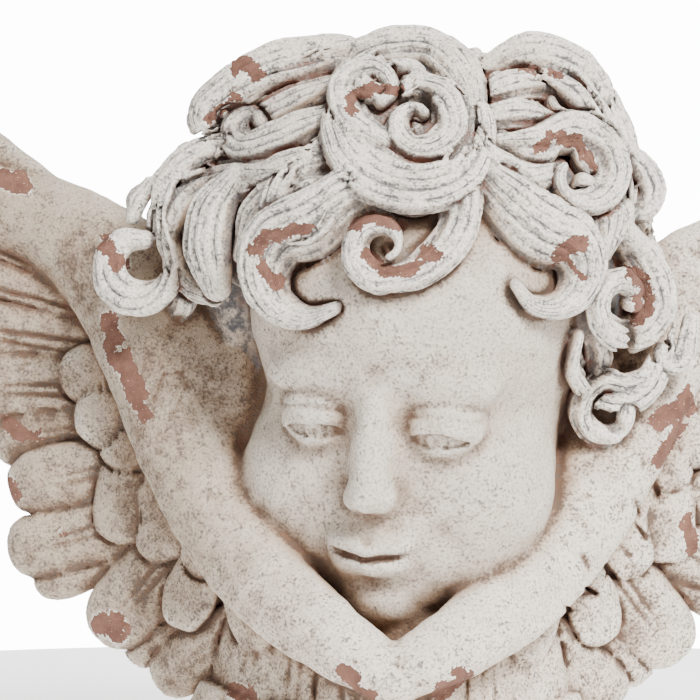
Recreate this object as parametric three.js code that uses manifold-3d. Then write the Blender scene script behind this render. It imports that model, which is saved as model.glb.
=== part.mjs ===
// A winged cherub's head, cast in one piece and cut flat below, so that it stands on its own.
// Millimetres, +Z up. The origin is the middle of the flat underside, and the face looks towards -Y.
// Every form is a bent or pushed three.js primitive, and all of them are joined into one closed solid.
import * as THREE from "three";
import { mergeVertices } from "three/addons/utils/BufferGeometryUtils.js";
import Module from "manifold-3d";

const wasm = await Module();
wasm.setup();

// Driving dimensions
const headHeight = 245; // chin to crown, without hair
const headPlace = [13, 0, 204]; // middle of the head, between the ears
const headTurn = -16; // degrees, towards the left of someone who faces it
const headNod = 14; // degrees, chin towards the chest
const headLean = 5; // degrees, its left side down
const hairPlace = [13, 18, 262];
const hairRadii = [114, 106, 108]; // of the surface that the locks lie on
const rimForward = 0.14; // keeps the locks at the rim in front of the wings
const capInset = 7; // how far the cap lies inside that surface
const wingBehind = 42; // how far the far end of a wing lies behind the middle of the head
const wingForward = 112; // how far it comes forward from there to the chin
const wingCurl = 95; // how soon it does so, going outwards
const wingThickness = 26;
const wingSink = 6; // how far the sheet lies under the surface that the feathers are placed on
const rightWingDrop = 4; // degrees, round the place under the chin where the wings meet
const meetingHeight = 58;
const footRadii = [92, 58];
const footHeight = 16;
const fineMerge = 1; // facets closer to flat than this are merged
const hairMerge = 3; // the same on the hair
const wingMerge = 4.5; // and on the wings
const creamPlaster = new THREE.MeshStandardMaterial({
  color: 0xd9d3c8,
  roughness: 0.92,
  metalness: 0,
});

const { clamp, lerp, degToRad } = THREE.MathUtils;
const vector = (list) => new THREE.Vector3(...list);
const front = new THREE.Vector3(0, -1, 0);
const headMatrix = new THREE.Matrix4().compose(
  vector(headPlace),
  new THREE.Quaternion().setFromEuler(
    new THREE.Euler(degToRad(headNod), degToRad(headLean), degToRad(headTurn), "ZXY"),
  ),
  new THREE.Vector3(1, 1, 1),
);

// Solids and geometries
function solidOf(geometry) {
  const bare = geometry.clone();
  bare.deleteAttribute("normal");
  bare.deleteAttribute("uv");
  const welded = mergeVertices(bare, 1e-4);
  return new wasm.Manifold(
    new wasm.Mesh({
      numProp: 3,
      vertProperties: new Float32Array(welded.attributes.position.array),
      triVerts: new Uint32Array(welded.index.array),
    }),
  );
}

function geometryOf(solid) {
  const mesh = solid.getMesh();
  const geometry = new THREE.BufferGeometry()
    .setAttribute("position", new THREE.BufferAttribute(mesh.vertProperties, mesh.numProp))
    .setIndex(new THREE.BufferAttribute(mesh.triVerts, 1))
    .toNonIndexed();
  geometry.computeVertexNormals();
  return geometry;
}

const joined = (solids) => solids.reduce((whole, solid) => whole.add(solid));

function pushVertices(geometry, move) {
  const place = geometry.attributes.position;
  const point = new THREE.Vector3();
  for (let i = 0; i < place.count; i++) {
    const moved = move(point.fromBufferAttribute(place, i).clone());
    place.setXYZ(i, moved.x, moved.y, moved.z);
  }
  return geometry;
}

// Bends a capsule along a row of points. outward gives the direction in which it stands up,
// and size gives its half width and half height at a share of the way.
function bentCapsule(points, outward, size, sides, steps) {
  const endRoundness = 0.7;
  const curve = new THREE.CatmullRomCurve3(points, false, "centripetal");
  const length = curve.getLength();
  const capsule = new THREE.CapsuleGeometry(1, length, 1, sides, steps);
  return pushVertices(capsule, (p) => {
    const along = clamp(p.y + length / 2, 0, length);
    const beyond = p.y + length / 2 - along;
    const share = along / length;
    const place = curve.getPointAt(share);
    const ahead = curve.getTangentAt(share);
    const up = outward(place);
    const side = new THREE.Vector3().crossVectors(ahead, up).normalize();
    up.crossVectors(side, ahead).normalize();
    const [halfWidth, halfHeight] = size(share);
    return place
      .addScaledVector(ahead, beyond * halfWidth * endRoundness)
      .addScaledVector(side, p.x * halfWidth)
      .addScaledVector(up, p.z * halfHeight);
  });
}

// Distance to an ellipsoid, and smooth unions and cuts of distances
function ellipsoid(p, centre, radii) {
  const x = (p.x - centre[0]) / radii[0];
  const y = (p.y - centre[1]) / radii[1];
  const z = (p.z - centre[2]) / radii[2];
  const near = Math.hypot(x, y, z);
  const slope = Math.hypot(x / radii[0], y / radii[1], z / radii[2]);
  return slope < 1e-9 ? -Math.min(...radii) : (near * (near - 1)) / slope;
}

function blendAdd(a, b, blend) {
  const overlap = Math.max(blend - Math.abs(a - b), 0) / blend;
  return Math.min(a, b) - (overlap * overlap * blend) / 4;
}

const blendCut = (a, b, blend) => -blendAdd(-a, b, blend);

// The head round its own middle, x to the viewer's right, -y forwards and z up.
// A row holds the kind, the centre, the radii, the blend, and whether the other side has its twin.
const skull = { centre: [0, 22, 45], radii: [90, 98, 92] };
const faceForms = [
  ["add", [0, -8, -24], [73, 72, 85], 14, false], // mass of the face
  ["add", [0, -30, 40], [68, 52, 48], 20, false], // forehead
  ["add", [41, -38, -43], [37, 38, 38], 16, true], // cheek
  ["add", [0, -64, -60], [29, 24, 27], 14, false], // mass round the mouth
  ["add", [0, -62, -91], [24, 21, 17], 12, false], // chin
  ["cut", [30, -90, 3], [19, 13, 13], 13, true], // eye socket
  ["add", [0, -84, -14], [8.5, 11, 24], 10, false], // bridge of the nose
  ["add", [0, -97, -32], [10.5, 11, 9.5], 7, false], // tip of the nose
  ["add", [12.5, -88, -36], [7, 9.5, 7], 4, true], // wing of the nose
  ["cut", [6.5, -96, -44.5], [3.6, 5, 3.4], 3, true], // nostril
  ["add", [7.5, -88, -57.5], [12, 6.5, 4.6], 4, true], // upper lip
  ["add", [5, -86, -68], [12.5, 7.5, 5.6], 4, true], // lower lip
  ["cut", [0, -94, -62.6], [19, 10, 1.5], 2.2, false], // mouth
  ["cut", [22, -84, -62.5], [3.6, 4.5, 3.6], 6, true], // corner of the mouth
  ["cut", [0, -92, -50], [3, 4, 8], 3.5, false], // groove above the lip
  ["cut", [0, -92, -78], [14, 7, 4.5], 8, false], // hollow above the chin
];
const eye = { centre: [30, -63, 0], radius: 18, lid: 2.3, upperEdge: -3, lowerEdge: -9.5, lean: 0.2 };

function headDistance(p) {
  let distance = ellipsoid(p, skull.centre, skull.radii);
  const folded = { x: Math.abs(p.x), y: p.y, z: p.z };
  for (const [kind, centre, radii, blend, twin] of faceForms) {
    const form = ellipsoid(twin ? folded : p, centre, radii);
    distance = kind === "add" ? blendAdd(distance, form, blend) : blendCut(distance, form, blend);
  }
  const [eyeX, eyeY, eyeZ] = eye.centre;
  const ball = Math.hypot(folded.x - eyeX, p.y - eyeY, p.z - eyeZ) - eye.radius;
  const lid = ball - eye.lid;
  const droop = eye.lean * Math.abs(folded.x - eyeX);
  const upperLid = Math.max(lid, eye.upperEdge - droop - (p.z - eyeZ));
  const lowerLid = Math.max(lid, p.z - eyeZ - eye.lowerEdge - droop);
  return blendAdd(blendAdd(blendAdd(distance, ball, 1.5), upperLid, 2), lowerLid, 2.5);
}

// A globe whose points are drawn in along its rays until they lie on the head. Its columns gather
// towards the face, and its rows towards the eyes and the mouth.
function headSolid() {
  const [columns, rows] = [38, 29];
  const [faceGather, featureGather] = [0.62, 0.3];
  const [steps, caution] = [60, 0.75];
  const middle = new THREE.Vector3(0, 5, -5);
  const globe = new THREE.SphereGeometry(1, columns, rows).rotateX(Math.PI / 2);
  pushVertices(globe, (unit) => {
    const around = Math.atan2(unit.x, -unit.y);
    const up = Math.asin(clamp(unit.z, -1, 1));
    const turned = around - faceGather * Math.sin(around);
    const lifted = up - featureGather * Math.cos(up) ** 2;
    const ray = new THREE.Vector3(
      Math.sin(turned) * Math.cos(lifted),
      -Math.cos(turned) * Math.cos(lifted),
      Math.sin(lifted),
    );
    let reach = headHeight * 0.7;
    for (let i = 0; i < steps; i++) {
      reach -= caution * headDistance(ray.clone().multiplyScalar(reach).add(middle));
    }
    return ray.multiplyScalar(reach).add(middle).applyMatrix4(headMatrix);
  });
  return solidOf(globe);
}

// The surface that the hair lies on, seen from the front
function hairPoint(x, z) {
  const side = (x - hairPlace[0]) / hairRadii[0];
  const high = (z - hairPlace[2]) / hairRadii[2];
  const forward = Math.max(1 - side * side - high * high, rimForward);
  return new THREE.Vector3(x, hairPlace[1] - hairRadii[1] * Math.sqrt(forward), z);
}

function hairNormal(point) {
  const offset = point.clone().sub(vector(hairPlace));
  return offset.divide(vector(hairRadii)).divide(vector(hairRadii)).normalize();
}

function ontoHair(point, hug) {
  const offset = point.clone().sub(vector(hairPlace)).divide(vector(hairRadii));
  return point.lerp(offset.normalize().multiply(vector(hairRadii)).add(vector(hairPlace)), hug);
}

// The middle line of a lock in its own plane. It leaves the root [across, up], touches a circle
// round the scroll's middle and winds inwards. sense is 1 for anticlockwise, seen from outside.
function scrollLine({ radius, sense, root, turns }) {
  const [rootSteps, stepsPerTurn] = [3, 8];
  const bow = 0.12; // how far the run from the root swings aside
  const [wind, lateness] = [0.66, 1.4]; // how much the scroll closes, and how late
  const away = Math.max(Math.hypot(...root), radius * 1.05);
  const entry = Math.atan2(root[1], root[0]) + sense * Math.acos(radius / away);
  const onCircle = (angle, reach) => new THREE.Vector2(reach * Math.cos(angle), reach * Math.sin(angle));
  const start = new THREE.Vector2(...root);
  const run = onCircle(entry, radius).sub(start);
  const aside = new THREE.Vector2(run.y, -run.x).multiplyScalar(bow * sense);
  const line = [];
  for (let i = 0; i < rootSteps; i++) {
    const share = i / rootSteps;
    line.push(start.clone().addScaledVector(run, share).addScaledVector(aside, Math.sin(Math.PI * share)));
  }
  const windSteps = Math.ceil(turns * stepsPerTurn);
  for (let i = 0; i <= windSteps; i++) {
    const share = i / windSteps;
    const reach = radius * (1 - wind * Math.min(share * turns, 1) ** lateness);
    line.push(onCircle(entry + sense * turns * 2 * Math.PI * share, reach));
  }
  return line;
}

// A lock stands on the hair at place. facing turns it from the surface towards the front.
function lockSolid(place, facing, lock, stepShare) {
  const [halfWidth, halfHeight, depth, sides] = [0.62, 0.6, 4, 5];
  const normal = hairNormal(place);
  const out = normal.clone().lerp(front, facing).normalize();
  const across = new THREE.Vector3(0, 0, 1).cross(out).normalize();
  const upward = new THREE.Vector3().crossVectors(out, across);
  const hug = facing > 0 ? clamp(3 - 2.8 * Math.hypot(normal.x, normal.z), 0.3, 1) : 1;
  const points = scrollLine(lock).map((p) => {
    const point = place.clone().addScaledVector(across, p.x).addScaledVector(upward, p.y);
    return ontoHair(point, hug).addScaledVector(normal, lock.lift);
  });
  const size = (share) => {
    const swell = Math.sin(Math.PI * (0.12 + 0.8 * share)) ** 0.7;
    return [lock.wide * halfWidth * swell, lock.wide * halfHeight * swell + depth];
  };
  const outward = (point) => hairNormal(point).lerp(out, 0.5);
  return solidOf(bentCapsule(points, outward, size, sides, Math.ceil(points.length * stepShare)));
}

// The locks round the brow and on the crown, with the middle of each scroll at x, z
const browLocks = [
  { x: -125, z: 266, radius: 18, sense: -1, root: [13, 39], wide: 15, turns: 1, lift: 0 },
  { x: -90, z: 275, radius: 13, sense: -1, root: [27, 26], wide: 14, turns: 1.05, lift: 5 },
  { x: -80, z: 268, radius: 30, sense: -1, root: [3, 30], wide: 17, turns: 0.12, lift: 4 },
  { x: -41, z: 256, radius: 20, sense: -1, root: [43, 33], wide: 17, turns: 0.95, lift: 6 },
  { x: 1, z: 267, radius: 16, sense: -1, root: [34, 35], wide: 13, turns: 1, lift: 7 },
  { x: 52, z: 276, radius: 13, sense: 1, root: [-14, 38], wide: 18, turns: 0.5, lift: 2 },
  { x: 73, z: 251, radius: 16, sense: -1, root: [-31, 42], wide: 15, turns: 1, lift: 7 },
  { x: 109, z: 246, radius: 17, sense: -1, root: [-12, 40], wide: 15, turns: 1, lift: 2 },
  { x: 104, z: 214, radius: 14, sense: -1, root: [20, 21], wide: 13, turns: 0.8, lift: 0 },
  { x: 88, z: 303, radius: 15, sense: -1, root: [-40, 6], wide: 11, turns: 1, lift: 6 },
  { x: 124, z: 297, radius: 11, sense: -1, root: [-16, 24], wide: 12, turns: 0.8, lift: 1 },
  { x: 76, z: 346, radius: 15, sense: -1, root: [-32, -19], wide: 12, turns: 0.9, lift: 4 },
  { x: 54, z: 308, radius: 16, sense: -1, root: [-20, 33], wide: 15, turns: 1, lift: 5 },
  { x: 9, z: 323, radius: 27, sense: 1, root: [-53, 24], wide: 16, turns: 0.6, lift: 2 },
  { x: 3, z: 352, radius: 20, sense: -1, root: [-23, -19], wide: 13, turns: 0.75, lift: 6 },
  { x: -4, z: 334, radius: 13, sense: -1, root: [23, -34], wide: 11, turns: 1, lift: 8 },
];

// Strands without a scroll, each by way of three places [x, z]
const strands = [
  { by: [[37, 315], [30, 286], [38, 255]], wide: 19 },
  { by: [[-35, 366], [-58, 366], [-78, 352]], wide: 15 },
  { by: [[-22, 350], [-52, 350], [-84, 334]], wide: 15 },
  { by: [[-30, 336], [-66, 326], [-103, 300]], wide: 16 },
  { by: [[-22, 315], [-40, 310], [-61, 290]], wide: 14 },
  { by: [[-64, 317], [-86, 306], [-106, 288]], wide: 13 },
  { by: [[40, 366], [24, 350], [30, 322]], wide: 14 },
  { by: [[84, 362], [108, 344], [128, 312]], wide: 14 },
];

// Rings of plain scrolls on the hidden sides and the back, at a height angle, between two turns
const backRings = [
  { up: 64, first: 140, last: 220, count: 2 },
  { up: 24, first: 98, last: 262, count: 4 },
  { up: -22, first: 112, last: 248, count: 3 },
];
const backLock = { radius: 28, wide: 26, turns: 0.9, lift: 2 };

function strandSolid({ by, wide }) {
  const [halfShare, sides, steps] = [0.65, 5, 4];
  const curve = new THREE.CatmullRomCurve3(by.map(([x, z]) => hairPoint(x, z)));
  const points = curve.getPoints(5).map((point) => ontoHair(point, 1));
  const size = (share) => {
    const half = wide * halfShare * Math.sin(Math.PI * (0.15 + 0.7 * share)) ** 0.7;
    return [half, half];
  };
  return solidOf(bentCapsule(points, hairNormal, size, sides, steps));
}

function backLockSolids() {
  return backRings.flatMap(({ up, first, last, count }, row) =>
    Array.from({ length: count }, (_, i) => {
      const around = degToRad(lerp(first, last, i / (count - 1)) + (row % 2) * 6);
      const high = degToRad(up);
      const flat = Math.cos(high);
      const unit = new THREE.Vector3(Math.sin(around) * flat, -Math.cos(around) * flat, Math.sin(high));
      const place = unit.multiply(vector(hairRadii)).add(vector(hairPlace));
      const sense = (i + row) % 2 ? 1 : -1;
      return lockSolid(place, 0, { ...backLock, sense, root: [-sense * 12, 46] }, 0.5);
    }),
  );
}

// The cap under the locks, open below the brow and in front of the ears
function capSolid() {
  const capRadii = hairRadii.map((radius) => radius - capInset);
  const [openFrom, openBelow, roomy] = [-22, 52, 300];
  const cap = new THREE.SphereGeometry(1, 14, 10).rotateX(Math.PI / 2).scale(...capRadii);
  const opening = new THREE.BoxGeometry(roomy, roomy, roomy)
    .translate(0, openFrom - roomy / 2, openBelow - roomy / 2)
    .applyMatrix4(headMatrix);
  return solidOf(cap.translate(...hairPlace)).subtract(solidOf(opening));
}

function hairSolid() {
  const locks = browLocks.map((lock) => lockSolid(hairPoint(lock.x, lock.z), 0.6, lock, 0.62));
  return joined([capSolid(), ...locks, ...strands.map(strandSolid), ...backLockSolids()]);
}

// Wings are worked out on the viewer's left, at x and z and at a height over a bent surface,
// which comes forward towards the chin
const wingDepth = (x) => wingBehind - wingForward * Math.exp(-((x / wingCurl) ** 2));
const onWing = (x, z, height) => new THREE.Vector3(x, wingDepth(x) - height, z);

// The smooth leading edge, from under the chin up past the cheek and out to the tip of the wing
const leadingEdge = [
  { x: 2, z: 64, height: 4, halfWidth: 11, halfHeight: 13 },
  { x: -30, z: 84, height: 8, halfWidth: 15, halfHeight: 16 },
  { x: -60, z: 108, height: 10, halfWidth: 18, halfHeight: 18 },
  { x: -87, z: 142, height: 9, halfWidth: 20, halfHeight: 19 },
  { x: -103, z: 180, height: 8, halfWidth: 27, halfHeight: 20 },
  { x: -113, z: 217, height: 6, halfWidth: 33, halfHeight: 20 },
  { x: -132, z: 254, height: 4, halfWidth: 32, halfHeight: 19 },
  { x: -164, z: 288, height: 3, halfWidth: 25, halfHeight: 18 },
  { x: -198, z: 310, height: 2, halfWidth: 21, halfHeight: 16 },
  { x: -233, z: 329, height: 1, halfWidth: 16, halfHeight: 13 },
  { x: -266, z: 346, height: 0, halfWidth: 9, halfHeight: 8 },
];

function leadingEdgeSolid() {
  const [sides, steps] = [8, 11];
  const line = leadingEdge.map(({ x, z, height }) => onWing(x, z, height));
  const size = (share) => {
    const at = share * (leadingEdge.length - 1);
    const [low, high] = [leadingEdge[Math.floor(at)], leadingEdge[Math.ceil(at)]];
    const mix = at - Math.floor(at);
    return [lerp(low.halfWidth, high.halfWidth, mix), lerp(low.halfHeight, high.halfHeight, mix)];
  };
  return solidOf(bentCapsule(line, () => front.clone(), size, sides, steps));
}

// Rows of feathers. Each pair of values belongs to the first and the last feather of its row, but
// rise is the height of a feather's root and of its tip. turn is in degrees from outwards to up.
const featherRows = [
  {
    // primaries
    count: 7, from: [-166, 298], to: [-152, 206], turn: [40, 2],
    length: [132, 78], wide: [33, 36], thick: 20, rise: [-4, 0],
  },
  {
    // secondaries
    count: 5, from: [-128, 196], to: [-84, 108], turn: [-16, -66],
    length: [98, 72], wide: [41, 38], thick: 20, rise: [-6, 0],
  },
  {
    // row under the chin
    count: 4, from: [-80, 96], to: [-14, 58], turn: [-70, -90],
    length: [64, 54], wide: [38, 34], thick: 20, rise: [-10, -2],
  },
  {
    // row at the foot, cut off by the ground
    count: 3, from: [-72, 52], to: [-16, 38], turn: [-80, -90],
    length: [60, 52], wide: [44, 36], thick: 22, rise: [4, 10],
  },
  {
    // middle coverts
    count: 6, from: [-146, 234], to: [-64, 98], turn: [4, -72],
    length: [58, 48], wide: [38, 34], thick: 17, rise: [2, 7],
  },
  {
    // small coverts
    count: 5, from: [-140, 222], to: [-54, 92], turn: [-4, -66],
    length: [40, 34], wide: [34, 30], thick: 14, rise: [8, 12],
  },
];

// A feather is a pillow that is fullest beyond its middle
function featherSolid({ x, z, turn, length, wide, thick, rise }) {
  const heading = Math.PI - degToRad(turn);
  const [aheadX, aheadZ] = [Math.cos(heading), Math.sin(heading)];
  const tucked = 0.04; // share of the length that lies behind the root
  const pillow = new THREE.SphereGeometry(1, 6, 4).rotateZ(Math.PI / 2);
  return solidOf(
    pushVertices(pillow, (p) => {
      const share = (1 - p.x) / 2;
      const fullness = 0.72 + 0.5 * share - 0.16 * share * share;
      const along = length * (share - tucked);
      const across = p.z * (wide / 2) * fullness;
      const height = lerp(...rise, share) - p.y * (thick / 2);
      return onWing(x + aheadX * along + aheadZ * across, z + aheadZ * along - aheadX * across, height);
    }),
  );
}

function featherSolids({ count, from, to, turn, length, wide, thick, rise }) {
  return Array.from({ length: count }, (_, i) => {
    const share = i / (count - 1);
    return featherSolid({
      x: lerp(from[0], to[0], share),
      z: lerp(from[1], to[1], share),
      turn: lerp(...turn, share),
      length: lerp(...length, share),
      wide: lerp(...wide, share),
      thick,
      rise,
    });
  });
}

// The sheet that carries the feathers, with its inner edge under the leading edge
function wingSheet() {
  const corners = [
    [4, 24], [-60, 30], [-116, 66], [-156, 120], [-166, 190], [-210, 262], [-240, 326],
    [-190, 300], [-124, 240], [-98, 176], [-70, 118], [-32, 88], [4, 72],
  ];
  const rim = new THREE.CatmullRomCurve3(corners.map(([x, z]) => new THREE.Vector3(x, z, 0)), true);
  const outline = new THREE.Shape(rim.getPoints(30).slice(0, -1));
  const slab = new THREE.ExtrudeGeometry(outline, { depth: wingThickness, bevelEnabled: false });
  return solidOf(pushVertices(slab, (p) => onWing(p.x, p.y, p.z - wingThickness - wingSink)));
}

const wingSolid = () => joined([wingSheet(), leadingEdgeSolid(), ...featherRows.flatMap(featherSolids)]);

// The body behind the wings: a turned form, wide at the foot and narrow under the head
function bodySolid() {
  const below = -20; // runs on under the ground, where it is cut off
  const profile = new THREE.SplineCurve([
    new THREE.Vector2(0, below),
    new THREE.Vector2(0.98, below),
    new THREE.Vector2(1, footHeight),
    new THREE.Vector2(0.9, 60),
    new THREE.Vector2(0.72, 110),
    new THREE.Vector2(0.55, 150),
    new THREE.Vector2(0, 170),
  ]);
  const line = profile.getPoints(8).map((p) => new THREE.Vector2(Math.max(p.x, 0), p.y));
  const turned = new THREE.LatheGeometry(line, 20).rotateX(Math.PI / 2);
  return solidOf(turned.scale(...footRadii, 1));
}

function cherubSolid() {
  const left = wingSolid().simplify(wingMerge);
  const right = left
    .mirror([1, 0, 0])
    .translate([0, 0, -meetingHeight])
    .rotate([0, rightWingDrop, 0])
    .translate([0, 0, meetingHeight]);
  const whole = joined([headSolid(), hairSolid().simplify(hairMerge), bodySolid(), left, right]);
  const roomy = 900;
  const aboveGround = new THREE.BoxGeometry(roomy, roomy, roomy).translate(0, 0, roomy / 2);
  const bodies = whole.intersect(solidOf(aboveGround)).simplify(fineMerge).decompose();
  return bodies.sort((a, b) => b.volume() - a.volume())[0];
}

const cherub = new THREE.Mesh(geometryOf(cherubSolid()), creamPlaster);
cherub.name = "winged_cherub_head";
const group = new THREE.Group();
group.add(cherub);

export default group;
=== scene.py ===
import math
import bpy
import numpy as np
import openvdb
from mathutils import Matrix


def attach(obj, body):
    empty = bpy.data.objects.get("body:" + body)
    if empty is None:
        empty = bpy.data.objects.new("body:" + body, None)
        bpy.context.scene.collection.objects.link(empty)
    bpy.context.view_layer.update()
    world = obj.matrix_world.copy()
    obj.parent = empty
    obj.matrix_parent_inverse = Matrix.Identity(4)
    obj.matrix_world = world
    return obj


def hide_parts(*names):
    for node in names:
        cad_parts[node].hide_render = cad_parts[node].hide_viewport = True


# Winged cherub head, cast in one piece. It is sculpted as a block of distances to its surface,
# in millimetres, and the surface is then meshed, thinned and painted.
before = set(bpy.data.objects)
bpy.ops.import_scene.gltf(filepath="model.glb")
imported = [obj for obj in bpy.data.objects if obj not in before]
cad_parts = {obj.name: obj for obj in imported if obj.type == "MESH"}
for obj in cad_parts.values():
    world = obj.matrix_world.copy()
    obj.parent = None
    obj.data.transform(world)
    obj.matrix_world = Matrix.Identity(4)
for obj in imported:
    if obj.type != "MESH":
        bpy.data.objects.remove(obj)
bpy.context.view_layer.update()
mm = 0.001


# A number in a shader. Sums written with it add Math nodes.
class Number:
    def __init__(self, tree, socket):
        self.tree = tree
        self.socket = socket

    def math(self, operation, *others, clamp=False):
        values = dict(enumerate((self,) + others))
        return self.tree.add("ShaderNodeMath", {"operation": operation, "use_clamp": clamp}, values)

    def __add__(self, other):
        return self.math("ADD", other)

    def __sub__(self, other):
        return self.math("SUBTRACT", other)

    def __mul__(self, other):
        return self.math("MULTIPLY", other)

    def __rsub__(self, other):
        return self.math("MULTIPLY", -1).math("ADD", other)

    __radd__ = __add__
    __rmul__ = __mul__

    def over(self, edge, width):
        # 0 below the edge, 1 from edge + width on
        return ((self - edge) * (1 / width)).math("ADD", 0, clamp=True)


class Tree:
    def __init__(self, owner):
        owner.use_nodes = True
        self.nodes = owner.node_tree.nodes
        self.links = owner.node_tree.links

    def add(self, kind, settings, values, output=0):
        node = self.nodes.new(kind)
        for name, value in settings.items():
            setattr(node, name, value)
        for name, value in values.items():
            self.feed(node.inputs[name], value)
        return Number(self, node.outputs[output])

    def feed(self, socket, value):
        if isinstance(value, Number):
            self.links.new(value.socket, socket)
        else:
            socket.default_value = value

    def mix(self, share, first, second):
        return self.add("ShaderNodeMix", {"data_type": "RGBA"}, {0: share, 6: first, 7: second}, 2)

    def noise(self, scale, detail, roughness):
        place = self.add("ShaderNodeTexCoord", {}, {}, 3)
        values = {"Vector": place, "Scale": scale, "Detail": detail, "Roughness": roughness}
        return self.add("ShaderNodeTexNoise", {}, values)

    def attribute(self, name):
        return self.add("ShaderNodeAttribute", {"attribute_name": name}, {}, 2)


def colour(*levels):
    # from the usual 0 to 255 levels to light
    shares = [level / 255 for level in levels]
    return tuple(s / 12.92 if s <= 0.04045 else ((s + 0.055) / 1.055) ** 2.4 for s in shares) + (1,)


# Stage: camera, light and floor, in metres
def buildStage():
    stage = {
        "cameraPlace": (-0.020, -1.5, 0.220), "shownWidth": 0.350, "sensor": 36,
        "farthest": 30, "aim": (0, 0, 0.2), "white": (1, 1, 1, 1),
        "floorRadius": 0.75, "floorSides": 96, "floorColour": (0.9, 0.9, 0.89, 1),
        "floorRoughness": 0.9, "floorGlow": 1.4,
        "keyPlace": (0.75, -1.35, 1.5), "keySize": 0.55, "keyPower": 104,
        "fillPlace": (-1.2, -1.3, 0.6), "fillSize": 1.4, "fillPower": 7,
        "backPlace": (0.5, 1.4, 1.3), "backSize": 1.0, "backPower": 12,
        "skyFront": 0.36, "skyBehind": 14.0, "skyEdge": 0.8, "skySoft": 0.15,
    }
    lens = bpy.data.cameras.new("photo_view")
    lens.sensor_width = stage["sensor"]
    lens.lens = stage["sensor"] * abs(stage["cameraPlace"][1]) / stage["shownWidth"]
    lens.clip_end = stage["farthest"]
    camera = bpy.data.objects.new("photo_view", lens)
    camera.location = stage["cameraPlace"]
    camera.rotation_euler = (math.pi / 2, 0, 0)
    bpy.context.scene.collection.objects.link(camera)
    bpy.context.scene.camera = camera

    aim = bpy.data.objects.new("light_aim", None)
    aim.location = stage["aim"]
    bpy.context.scene.collection.objects.link(aim)
    for name in ("key", "fill", "back"):
        lamp = bpy.data.lights.new(name + "_light", "AREA")
        lamp.size = stage[name + "Size"]
        lamp.energy = stage[name + "Power"]
        holder = bpy.data.objects.new(name + "_light", lamp)
        holder.location = stage[name + "Place"]
        towards = aim.location - holder.location
        holder.rotation_euler = towards.to_track_quat("-Z", "Y").to_euler()
        bpy.context.scene.collection.objects.link(holder)

    sky = bpy.data.worlds.new("studio")
    tree = Tree(sky)
    direction = tree.add("ShaderNodeTexCoord", {}, {}, 0)
    back = tree.add("ShaderNodeSeparateXYZ", {}, {"Vector": direction}, 1)
    behind = back.over(stage["skyEdge"], stage["skySoft"])
    strength = behind * (stage["skyBehind"] - stage["skyFront"]) + stage["skyFront"]
    background = tree.nodes["Background"]
    tree.feed(background.inputs["Color"], stage["white"])
    tree.feed(background.inputs["Strength"], strength)
    bpy.context.scene.world = sky

    bpy.ops.mesh.primitive_circle_add(
        vertices=stage["floorSides"], radius=stage["floorRadius"], fill_type="NGON")
    floor = bpy.context.object
    floor.name = "floor"
    paint = bpy.data.materials.new("floor_paint")
    tree = Tree(paint)
    looks = {
        "Base Color": stage["floorColour"], "Roughness": stage["floorRoughness"],
        "Emission Color": stage["white"], "Emission Strength": stage["floorGlow"],
    }
    for name, value in looks.items():
        tree.feed(tree.nodes["Principled BSDF"].inputs[name], value)
    floor.data.materials.append(paint)


buildStage()
print("stage ready")


# Distances: blends, eggs and lines. tiny keeps a division from being by nothing.
tiny = 1e-6


def blendAdd(a, b, blend):
    overlap = np.maximum(blend - np.abs(a - b), 0) / blend
    return np.minimum(a, b) - overlap * overlap * (blend / 4)


def blendCut(a, b, blend):
    return -blendAdd(-a, b, blend)


def eggDistance(x, y, z, radii):
    a, b, c = x / radii[0], y / radii[1], z / radii[2]
    near = np.sqrt(a * a + b * b + c * c)
    slope = np.sqrt((a / radii[0]) ** 2 + (b / radii[1]) ** 2 + (c / radii[2]) ** 2) + tiny
    return near * (near - 1) / slope


def unit(rows):
    return rows / np.maximum(np.linalg.norm(rows, axis=-1, keepdims=True), 1e-9)


def smoothLine(points, spacing):
    # An even, rounded line through the points (a centripetal Catmull-Rom curve)
    stepsEach = 12
    points = np.array(points, float)
    ends = [2 * points[0] - points[1]], [2 * points[-1] - points[-2]]
    knots = np.concatenate([ends[0], points, ends[1]])
    gaps = np.sqrt(np.linalg.norm(np.diff(knots, axis=0), axis=1)) + tiny
    times = np.concatenate([[0], np.cumsum(gaps)])
    line = []
    for i in range(1, len(knots) - 2):
        t = np.linspace(times[i], times[i + 1], stepsEach, endpoint=False)[:, None]
        p, s = knots[i - 1:i + 3], times[i - 1:i + 3]
        a1 = ((s[1] - t) * p[0] + (t - s[0]) * p[1]) / (s[1] - s[0])
        a2 = ((s[2] - t) * p[1] + (t - s[1]) * p[2]) / (s[2] - s[1])
        a3 = ((s[3] - t) * p[2] + (t - s[2]) * p[3]) / (s[3] - s[2])
        b1 = ((s[2] - t) * a1 + (t - s[0]) * a2) / (s[2] - s[0])
        b2 = ((s[3] - t) * a2 + (t - s[1]) * a3) / (s[3] - s[1])
        line.append(((s[2] - t) * b1 + (t - s[1]) * b2) / (s[2] - s[1]))
    line = np.concatenate(line + [points[-1:]])
    run = np.concatenate([[0], np.cumsum(np.linalg.norm(np.diff(line, axis=0), axis=1))])
    count = max(int(run[-1] / spacing) + 1, 3)
    even = np.linspace(0, run[-1], count)
    return np.stack([np.interp(even, run, line[:, i]) for i in range(line.shape[1])], axis=1)


def alongAxes(turn, x, y, z):
    # A turned form's own axes are the turn's columns
    return [turn[0, i] * x + turn[1, i] * y + turn[2, i] * z for i in range(3)]


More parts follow.
